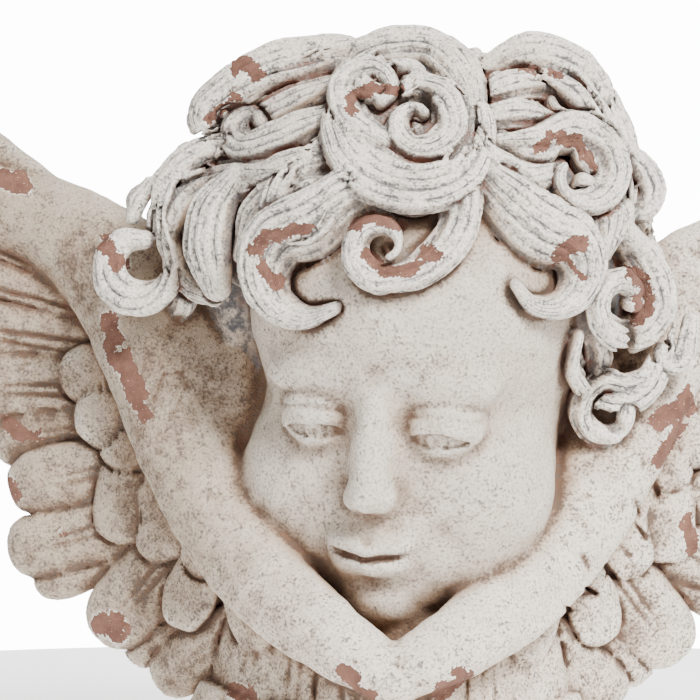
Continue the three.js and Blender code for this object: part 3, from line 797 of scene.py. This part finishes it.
def sculptSheet(side):
    rim = smoothLine(wings["sheet"] + wings["sheet"][:1], wings["rimSpacing"])
    part, y, wingX, wingZ = aroundWing(
        side, rim, wings["sheetMargin"], wings["front"], wings["sheetBack"])
    nearest, inside = 1e9, np.zeros(wingX.shape, bool)
    for (ax, az), (bx, bz) in zip(rim[:-1], rim[1:]):
        runX, runZ = bx - ax, bz - az
        length = runX ** 2 + runZ ** 2 + 1e-9
        t = np.clip(((wingX - ax) * runX + (wingZ - az) * runZ) / length, 0, 1)
        nearest = np.minimum(nearest, (wingX - ax - t * runX) ** 2 + (wingZ - az - t * runZ) ** 2)
        if runZ:
            crosses = (az > wingZ) != (bz > wingZ)
            inside ^= crosses & (wingX < ax + runX * (wingZ - az) / runZ)
    outline = np.where(inside, -1, 1) * np.sqrt(nearest)
    height = wingDepth(wingX) - y
    middle = -wings["sink"] - wings["thickness"] / 2
    slab = np.abs(height - middle) - wings["thickness"] / 2
    distance = blendCut(outline, -slab, wings["rimBlend"])
    clay.join(part, distance, wings["sheetBlend"], isWing)


def sculptFeather(side, x, z, turn, length, wide, thick, root, end, quill):
    form = wings["feather"]
    heading = math.pi - math.radians(turn)
    aheadX, aheadZ = math.cos(heading), math.sin(heading)
    tip = (x + aheadX * length, z + aheadZ * length)
    depths = wingDepth(np.linspace(x, tip[0], 5))
    front, back = depths.min() - thick - form["before"], depths.max() + thick + form["behind"]
    reach = wide * form["reach"] + form["margin"]
    part, y, wingX, wingZ = aroundWing(side, [(x, z), tip], reach, front, back)
    along = (wingX - x) * aheadX + (wingZ - z) * aheadZ
    across = (wingX - x) * aheadZ - (wingZ - z) * aheadX
    share = along / length + form["rootShare"]
    start, gain, loss = form["full"]
    full = start + gain * share - loss * share * share
    half = wide / 2 * np.clip(full, *form["fullest"])
    shingle = form["shingle"] * across / half
    height = wingDepth(wingX) - y - (root + (end - root) * share) - shingle
    blunt = min(wide / length * form["blunt"], form["bluntest"])
    rootEnd = np.maximum(form["rootEnd"] - share, 0) * form["rootSteep"]
    a = np.maximum((share - 1 + blunt) / blunt, rootEnd)
    b, c = np.abs(across) / half, height / (thick / 2)
    near = (np.maximum(a, 0) ** form["tipPower"] + b ** form["sidePower"] + c * c) ** 0.5
    slope = np.sqrt((a / (length * blunt)) ** 2 + (b / half) ** 2 + (c / (thick / 2)) ** 2) + tiny
    distance = near * (near - 1) / slope * wingSteep(wingX)
    if quill:
        apart, wider = form["quillApart"]
        strong, weaker = form["quillFade"]
        lines = (np.abs(across) - (apart + wider * (1 - share))) / form["quillWide"]
        lines = np.exp(-lines ** 2) * np.clip(strong - weaker * share, 0, 1)
        distance = distance + quill * lines * (height > 0)
    old = clay.depth[part]
    trench = np.minimum(wings["gap"] - distance, old + wings["gapDepth"])
    clay.depth[part] = np.maximum(old, trench)
    clay.join(part, distance, form["blend"], isWing)
    clay.draw(part, distance, (along + np.abs(across) * form["slant"]) / form["barbs"])


def sculptWing(side):
    sculptSheet(side)
    for feather in wings["feathers"]:
        sculptFeather(side, *feather)
    sculptEdge(side)
    sculptCuts(side)


def sculptCuts(side):
    for x1, z1, x2, z2, deep, wide in wings["cuts"][side]:
        part, y, wingX, wingZ = aroundWing(
            side, [(x1, z1), (x2, z2)], wings["cutMargin"], wings["front"], wings["cutBack"])
        runX, runZ = x2 - x1, z2 - z1
        share = np.clip(((wingX - x1) * runX + (wingZ - z1) * runZ) / (runX ** 2 + runZ ** 2), 0, 1)
        away = (wingX - x1 - share * runX) ** 2 + (wingZ - z1 - share * runZ) ** 2
        onFront = y < wingDepth(wingX) + wings["cutMargin"]
        clay.depth[part] += deep * np.exp(-away / wide ** 2) * onFront


def sculptEdge(side):
    flat = smoothLine(wings["edge"], wings["edgeSpacing"])
    x, z = fromWing(side, flat[:, 0], flat[:, 1])
    line = np.stack([x, wingDepth(flat[:, 0]) - flat[:, 2], z], axis=1)
    outward = np.tile([0.0, -1.0, 0.0], (len(line), 1))
    clay.band(line, outward, flat[:, 3], flat[:, 4], wings["edgeBlend"])


for side in (-1, 1):
    sculptWing(side)
print("wings done")

# Body behind the wings, an oval column that widens to the flat foot: height, share of the foot's radii
body = {
    "foot": (92, 58), "top": 170, "margin": 8, "blend": 6, "behind": [((-80, 14, 182), (30, 26, 50))],
    "uneven": [(5.1, 0.5, 0.3), (3.3, 0.4, 1.1)],  # ripples all over: length, height, turn
    "rippleShift": 1.9,
    "profile": [(-20, 0.98), (16, 1.0), (60, 0.9), (110, 0.72), (150, 0.55), (170, 0.3)],
}


def sculptBody():
    wide, deep = body["foot"]
    edge, blend = body["margin"], body["blend"]
    low, high = (-wide - edge, -deep - edge, -edge), (wide + edge, deep + edge, body["top"] + blend)
    part, x, y, z = clay.around(low, high)
    heights, shares = zip(*body["profile"])
    share = np.interp(z, heights, shares)
    ring = (np.sqrt((x / (wide * share)) ** 2 + (y / (deep * share)) ** 2) - 1) * deep * share
    distance = np.maximum(ring, z - body["top"])
    clay.join(part, distance, blend)
    for centre, radii in body["behind"]:
        clay.egg(centre, radii, blend=blend)
    for length, high, turn in body["uneven"]:
        shift = body["rippleShift"]
        waves = [np.sin(axis / length + turn + i * shift) for i, axis in enumerate(clay.axes)]
        ripple = waves[0][:, None, None] * waves[1][None, :, None] * waves[2][None, None, :] * high
        clay.depth += ripple.astype(np.float32)
    # The foot is cut flat
    np.maximum(clay.depth, -clay.axes[2][None, None, :], out=clay.depth)


sculptBody()
print("body done")


# Meshing: the surface of the block, thinned most where the camera never looks
mesh = {
    "triangles": 196000, "quickTriangles": 90000, "levels": 6,
    "sideways": 0.25, "backwards": 0.5, "depth": 120, "mostForDepth": 0.5, "least": 0.06,
}


def surfaceOf(block):
    grid = openvdb.FloatGrid(block.settings["far"])
    grid.copyFromArray(block.depth)
    points, quads = grid.convertToQuads(isovalue=0.0)
    places = [np.interp(points[:, i], np.arange(len(axis)), axis) for i, axis in enumerate(block.axes)]
    return np.stack(places, 1), quads


def meshOf(name, points, faces):
    made = bpy.data.meshes.new(name)
    made.vertices.add(len(points))
    made.vertices.foreach_set("co", (points * mm).astype(np.float32).ravel())
    size = faces.shape[1]
    made.loops.add(faces.size)
    made.loops.foreach_set("vertex_index", faces.astype(np.int32).ravel())
    made.polygons.add(len(faces))
    made.polygons.foreach_set("loop_start", np.arange(0, faces.size, size, dtype=np.int32))
    made.update(calc_edges=True)
    return made


def largestPiece(count, faces):
    label = np.arange(count)
    a, b = faces.ravel(), np.roll(faces, 1, axis=1).ravel()
    while True:
        new = label.copy()
        np.minimum.at(new, a, label[b])
        np.minimum.at(new, b, label[a])
        new = new[new]
        if (new == label).all():
            break
        label = new
    names, sizes = np.unique(label, return_counts=True)
    return label == names[sizes.argmax()]


def thinned(points, faces):
    rough = meshOf("rough", points, faces)
    piece = bpy.data.objects.new("rough", rough)
    bpy.context.scene.collection.objects.link(piece)
    group = piece.vertex_groups.new(name="plain")
    normals = np.zeros(len(points) * 3, np.float32)
    rough.vertices.foreach_get("normal", normals)
    facing = normals.reshape(-1, 3)[:, 1]
    deeper = np.clip(points[:, 1] / mesh["depth"], 0, mesh["mostForDepth"])
    weight = np.clip(mesh["sideways"] + mesh["backwards"] * facing + deeper, mesh["least"], 1)
    level = np.round(weight * mesh["levels"]).astype(int)
    for step in range(mesh["levels"] + 1):
        chosen = np.nonzero(level == step)[0]
        group.add(chosen.tolist(), max(step / mesh["levels"], mesh["least"]), "REPLACE")
    thin = piece.modifiers.new("thin", "DECIMATE")
    wanted = mesh["triangles"]
    thin.ratio = min(wanted / (len(faces) * 2), 1)
    thin.use_collapse_triangulate = True
    thin.vertex_group = "plain"
    thin.vertex_group_factor = 1.0
    done = piece.evaluated_get(bpy.context.evaluated_depsgraph_get()).to_mesh()
    count = len(done.vertices)
    places = np.zeros(count * 3, np.float32)
    done.vertices.foreach_get("co", places)
    done.calc_loop_triangles()
    corners = np.zeros(len(done.loop_triangles) * 3, np.int32)
    done.loop_triangles.foreach_get("vertices", corners)
    bpy.data.objects.remove(piece)
    bpy.data.meshes.remove(rough)
    return places.reshape(-1, 3) / mm, corners.reshape(-1, 3)


points, quads = surfaceOf(clay)
print("surface", len(points), len(quads))
points, triangles = thinned(points, quads)
print("thinned", len(triangles))
keep = largestPiece(len(points), triangles)
triangles = (np.cumsum(keep) - 1)[triangles[keep[triangles[:, 0]]]]
points = points[keep]
print("one casting", len(points), len(triangles))

cast = bpy.data.objects.new("cherub_casting", meshOf("cherub_casting", points, triangles))
bpy.context.scene.collection.objects.link(cast)
cast.data.polygons.foreach_set("use_smooth", np.ones(len(triangles), bool))
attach(cast, "root")
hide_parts("winged_cherub_head")

# Wear: places where the terracotta shows through, picked on the photo. Each is a capsule from
# pixel x, y to x, y with a radius, listed under the millimetres that a pixel spans at its depth.
photo = {"middle": (350, 350), "place": (-20, 220)}
chips = {
    0.51: [(2, 176, 20, 184, 10), (8, 426, 20, 436, 9), (26, 434, 38, 436, 5), (2, 480, 12, 494, 9)],
    0.5: [(96, 628, 112, 640, 11), (112, 620, 122, 630, 5), (692, 524, 698, 550, 8)],
    0.495: [
        (104, 240, 118, 262, 9), (100, 236, 104, 242, 7), (238, 59, 256, 77, 10), (236, 73, 246, 65, 7),
    ],
    0.49: [
        (236, 692, 252, 698, 9), (664, 420, 690, 408, 12), (688, 430, 666, 460, 9),
        (690, 398, 698, 412, 9), (208, 120, 236, 98, 5),
    ],
    0.485: [
        (98, 316, 108, 336, 9), (100, 340, 104, 360, 5), (116, 360, 134, 394, 11),
        (128, 394, 140, 416, 8), (524, 63, 560, 73, 5),
    ],
    0.48: [
        (344, 664, 356, 674, 7), (360, 684, 372, 692, 6), (456, 668, 466, 674, 6), (438, 690, 458, 682, 9),
        (352, 112, 352, 96, 7), (352, 96, 372, 88, 8), (372, 88, 398, 92, 6), (541, 148, 552, 136, 7),
        (552, 136, 578, 140, 8), (578, 140, 600, 164, 7), (634, 272, 648, 278, 8), (640, 300, 646, 322, 7),
        (652, 290, 654, 312, 5), (556, 256, 578, 242, 9), (566, 262, 580, 280, 5),
    ],
    0.477: [
        (252, 252, 268, 236, 7), (268, 236, 306, 230, 7), (262, 270, 276, 280, 8), (352, 228, 372, 218, 7),
        (372, 218, 398, 226, 6), (366, 256, 384, 272, 8), (384, 272, 410, 270, 7), (426, 252, 436, 256, 7),
    ],
}
wearAndShade = {
    "hollowStep": 3.0, "hollowReach": 9.0, "creaseStep": 1.5, "creaseReach": 3.0, "open": 0.125,
    "seed": 7, "backChips": 34, "backRadius": (3, 8), "backRun": 6, "limit": 6, "facing": 0.35,
    "behind": 25, "ridge": 0.12,
}


def blurred(block, step, reach):
    # How full of clay it is round each place, on an even grid
    axes = [np.arange(axis[0], axis[-1], step) for axis in block.axes]
    near = []
    for own, want in zip(block.axes, axes):
        near.append(np.clip(np.searchsorted(own, want), 0, len(own) - 1))
    fill = np.clip(0.5 - block.depth[np.ix_(*near)] / step, 0, 1)
    half = max(int(round(reach / step)), 1)
    for axis in (0, 1, 2, 0, 1, 2):
        pads = [(half + 1, half) if i == axis else (0, 0) for i in range(3)]
        total = np.cumsum(np.pad(fill, pads), axis=axis, dtype=np.float64)
        ahead = np.take(total, np.arange(2 * half + 1, total.shape[axis]), axis=axis)
        behind = np.take(total, np.arange(0, total.shape[axis] - 2 * half - 1), axis=axis)
        fill = ((ahead - behind) / (2 * half + 1)).astype(np.float32)
    return axes, fill


def fromPhoto(x, y, span):
    return np.array([
        photo["place"][0] + (x - photo["middle"][0]) * span,
        photo["place"][1] - (y - photo["middle"][1]) * span,
    ])


def capsuleReach(points, start, end, radius):
    run = end - start
    share = np.clip(((points - start) @ run) / max(float(run @ run), tiny), 0, 1)
    return radius - np.linalg.norm(points - start - share[:, None] * run, axis=1)


def paintMarks(piece, points):
    count = len(points)
    normals = np.zeros(count * 3, np.float32)
    piece.data.vertices.foreach_get("normal", normals)
    normals = normals.reshape(-1, 3)
    # hollow and crease tell how enclosed each place is; the paint turns them into painted shade in hollows
    # and creases
    axes, fill = blurred(clay, wearAndShade["hollowStep"], wearAndShade["hollowReach"])
    hollow = clay.places(fill, points + normals * wearAndShade["hollowReach"], axes) - wearAndShade["open"]
    axes, fill = blurred(clay, wearAndShade["creaseStep"], wearAndShade["creaseReach"])
    crease = clay.places(fill, points + normals * wearAndShade["creaseReach"], axes) - wearAndShade["open"]
    ridge = 1 - wearAndShade["open"] - clay.places(fill, points - normals * wearAndShade["creaseReach"], axes)
    nearest = []
    for i, axis in enumerate(clay.axes):
        index = np.rint(np.interp(points[:, i], axis, np.arange(len(axis)))).astype(int)
        nearest.append(np.clip(index, 0, len(axis) - 1))
    kinds = clay.kind[tuple(nearest)]
    chip = np.full(count, -wearAndShade["limit"], float)
    front = normals[:, 1] < wearAndShade["facing"]
    for span, capsules in chips.items():
        for x1, y1, x2, y2, radius in capsules:
            start, end = fromPhoto(x1, y1, span), fromPhoto(x2, y2, span)
            reach = capsuleReach(points[:, [0, 2]], start, end, radius * span)
            chip = np.where(front, np.maximum(chip, reach), chip)
    chance = np.random.default_rng(wearAndShade["seed"])
    atBack = (normals[:, 1] > wearAndShade["facing"]) & (points[:, 1] > wearAndShade["behind"])
    ridgeWashAndHighlight = np.nonzero((ridge > wearAndShade["ridge"]) & atBack)[0]
    for start in chance.choice(ridgeWashAndHighlight, wearAndShade["backChips"]):
        radius = chance.uniform(*wearAndShade["backRadius"])
        run = chance.normal(0, wearAndShade["backRun"], 3)
        chip = np.maximum(chip, capsuleReach(points, points[start], points[start] + run, radius))
    marks = {
        "hollow": hollow, "crease": crease, "ridge": ridge, "chip": chip,
        "strand": clay.places(clay.strand, points),
        "hair": kinds == isHair, "face": kinds == isFace, "wing": kinds == isWing,
    }
    for name, values in marks.items():
        layer = piece.data.attributes.new(name, "FLOAT", "POINT")
        layer.data.foreach_set("value", np.asarray(values, np.float32))


paintMarks(cast, points)

# Whitewash over terracotta. Tones are levels, noises are the scale per metre, detail and roughness, and
# edges are where a layer starts and over how much it comes in. A groove is one full turn of a wave.
wash = {
    "tones": {
        # tan and brown are painted shade for hollows; grime and dust also serve as painted shade in creases
        # and on the viewer's left
        "pale": (228, 219, 206), "cool": (204, 203, 200), "warm": (206, 184, 160), "speck": (134, 124, 114),
        "pit": (92, 84, 76), "tanShade": (150, 120, 92), "brownShade": (92, 68, 50), "grimeAndShade": (86, 85, 87),
        "rust": (142, 82, 56), "creaseBrown": (92, 66, 48), "clay": (92, 58, 45), "clayPale": (120, 82, 66),
        "dustAndSideShade": (160, 143, 122), "fleck": (196, 160, 134), "bright": (240, 234, 223),
    },
    "noises": [(16, 4, 0.6), (55, 4, 0.65), (150, 3, 0.55), (720, 1, 0.4), (1400, 1, 0.5)],
    "edges": {
        "warm": (0.45, 0.3), "cool": (0.48, 0.25), "leftSideShade": (0.02, 0.08),
        "ridge": (0.04, 0.22), "ridgeMottle": (0.35, 0.3), "speck": (0.46, 0.16), "fine": (0.55, 0.15),
        "tanShade": (-0.01, 0.32), "brownShade": (0.3, 0.25), "creaseGrimeAndShade": (0.06, 0.18),
        "broad": (0.72, 0.25), "broadGap": (0.7, 0.16), "narrow": (0.6, 0.4), "narrowGap": (0.95, 0.16),
        "pit": (0.86, 0.08), "rust": (1.68, 0.35), "bare": (0, 0.25), "rim": (-0.9, 0.6),
        "clay": (0.35, 0.35), "fleck": (0.68, 0.08), "cut": (0.1, 0.9), "cutGap": (0.35, 0.25),
    },
    "leftShadeAmount": 0.9, "faceDust": 0.5, "turn": 6.2832, "roughness": 0.92, "bareSmoother": 0.12,
    "bump": 0.8, "bumpDistance": 0.0008,
}


def paintWash():
    paint = bpy.data.materials.new("whitewashed_cast")
    tree = Tree(paint)
    tone = {name: colour(*levels) for name, levels in wash["tones"].items()}
    edges = wash["edges"]
    hollow, crease, ridge = (tree.attribute(name) for name in ("hollow", "crease", "ridge"))
    hairy, winged, faced = (tree.attribute(name) for name in ("hair", "wing", "face"))
    cloud, patch, mottle, grain, fine = (tree.noise(*sizes) for sizes in wash["noises"])
    patchy, mottled, grainy = patch - 0.5, mottle - 0.5, grain - 0.5

    # Whitewash, dustier on the face, with painted shade on the viewer's left, and ridges lighter from thick
    # wash and painted highlight
    base = tree.mix(cloud.over(*edges["warm"]) * 0.45, tone["pale"], tone["warm"])
    base = tree.mix(patch.over(*edges["cool"]) * 0.5, base, tone["cool"])
    base = tree.mix(winged * 0.45 + (1 - hairy - winged - faced) * 0.35, base, tone["warm"])
    place = tree.add("ShaderNodeTexCoord", {}, {}, 3)
    left = tree.add("ShaderNodeSeparateXYZ", {}, {"Vector": place}) * -1
    # Painted shade: the wings and body darken towards the viewer's left side, as if that side were out of
    # the light
    leftSideShade = (left + patchy * 0.08).over(*edges["leftSideShade"])
    dustAndSideShade = leftSideShade * (1 - hairy - faced) * wash["leftShadeAmount"] + faced * wash["faceDust"]
    base = tree.mix(dustAndSideShade, base, tone["dustAndSideShade"])
    # Ridges are lightened: partly thicker whitewash, partly a painted highlight
    ridgeWashAndHighlight = ridge.over(*edges["ridge"]) * mottle.over(*edges["ridgeMottle"]) * 0.6
    base = tree.mix(ridgeWashAndHighlight, base, tone["bright"])
    speck = grain.over(*edges["speck"]) * (0.25 + mottle * 0.5 + winged * 0.2)
    base = tree.mix(speck, base, tone["speck"])
    base = tree.mix(fine.over(*edges["fine"]) * 0.3, base, tone["bright"])

    # Painted shade in the hollows, and grime with painted shade in the creases
    # Painted shade: hollows darken towards tan
    tanShade = (hollow + patchy * 0.25 - faced * 0.05).over(*edges["tanShade"]) * 0.85
    base = tree.mix(tanShade, base, tone["tanShade"])
    # Painted shade: the deepest hollows darken further to brown
    brownShade = (hollow + mottled * 0.3).over(*edges["brownShade"]) * (0.85 - hairy * 0.25)
    base = tree.mix(brownShade, base, tone["brownShade"])
    rough = (mottled * 0.35 + grainy * 0.2) * (1 - faced * 0.5)
    # Creases darken: partly grime and partly painted shade
    creaseGrimeAndShade = (crease + rough - faced * 0.04).over(*edges["creaseGrimeAndShade"])
    inCrease = tree.mix(hairy, tone["creaseBrown"], tone["grimeAndShade"])
    base = tree.mix(creaseGrimeAndShade * (0.9 - hairy * 0.25), base, inCrease)

    # Fine lines along the hair and the feathers, pits and rust
    strand = tree.attribute("strand") * wash["turn"] + patchy * 3 + mottled * 0.8
    broad, narrow = strand.math("COSINE"), (strand * 2.5 + patchy * 8).math("COSINE")
    drawn = broad.over(*edges["broad"]) * hairy * 0.75 * (mottle + patch * 0.6).over(*edges["broadGap"])
    thin = narrow.over(*edges["narrow"]) * (hairy * 0.35 + winged * 0.22)
    drawn = drawn + thin * (mottle + patch).over(*edges["narrowGap"])
    base = tree.mix(drawn.math("MINIMUM", 1), base, tone["grimeAndShade"])
    pits = grain * 0.9 + mottle * 0.35 + patch * 0.15 + crease * 0.5 - faced * 0.03
    pits = pits.over(*edges["pit"])
    base = tree.mix(pits * (0.1 + mottle * 0.8 - faced * 0.1), base, tone["pit"])
    rust = (crease * 1.6 + patch * 1.6 + cloud * 0.8 - faced * 0.12).over(*edges["rust"])
    base = tree.mix(rust * (0.25 + hairy * 0.4) * 0.8, base, tone["rust"])

    # Chips down to the terracotta, with a bright broken edge
    chip = tree.attribute("chip") + mottled * 9 + patchy * 8 + grainy * 3
    bare = chip.over(*edges["bare"])
    claySkin = tree.mix(mottle.over(*edges["clay"]), tone["clay"], tone["clayPale"])
    claySkin = tree.mix(grain.over(*edges["fleck"]) * 0.6, claySkin, tone["fleck"])
    rim = chip.over(*edges["rim"]) - bare
    base = tree.mix(rim * (0.6 - creaseGrimeAndShade) * (1 - hollow * 3), base, tone["bright"])
    base = tree.mix(bare, base, claySkin)

    height = grain * 0.5 + fine * 0.3 + mottle * 0.7 - bare * 0.9 - pits * 0.5
    cuts = narrow.over(*edges["cut"]) * (hairy * 0.4 + winged * 0.15) * patch.over(*edges["cutGap"])
    relief = {"Strength": wash["bump"], "Distance": wash["bumpDistance"], "Height": height - cuts}
    shader = tree.nodes["Principled BSDF"]
    tree.feed(shader.inputs["Base Color"], base)
    tree.feed(shader.inputs["Roughness"], wash["roughness"] - bare * wash["bareSmoother"])
    tree.feed(shader.inputs["Normal"], tree.add("ShaderNodeBump", {}, relief))
    return paint


cast.data.materials.append(paintWash())
print("painted")
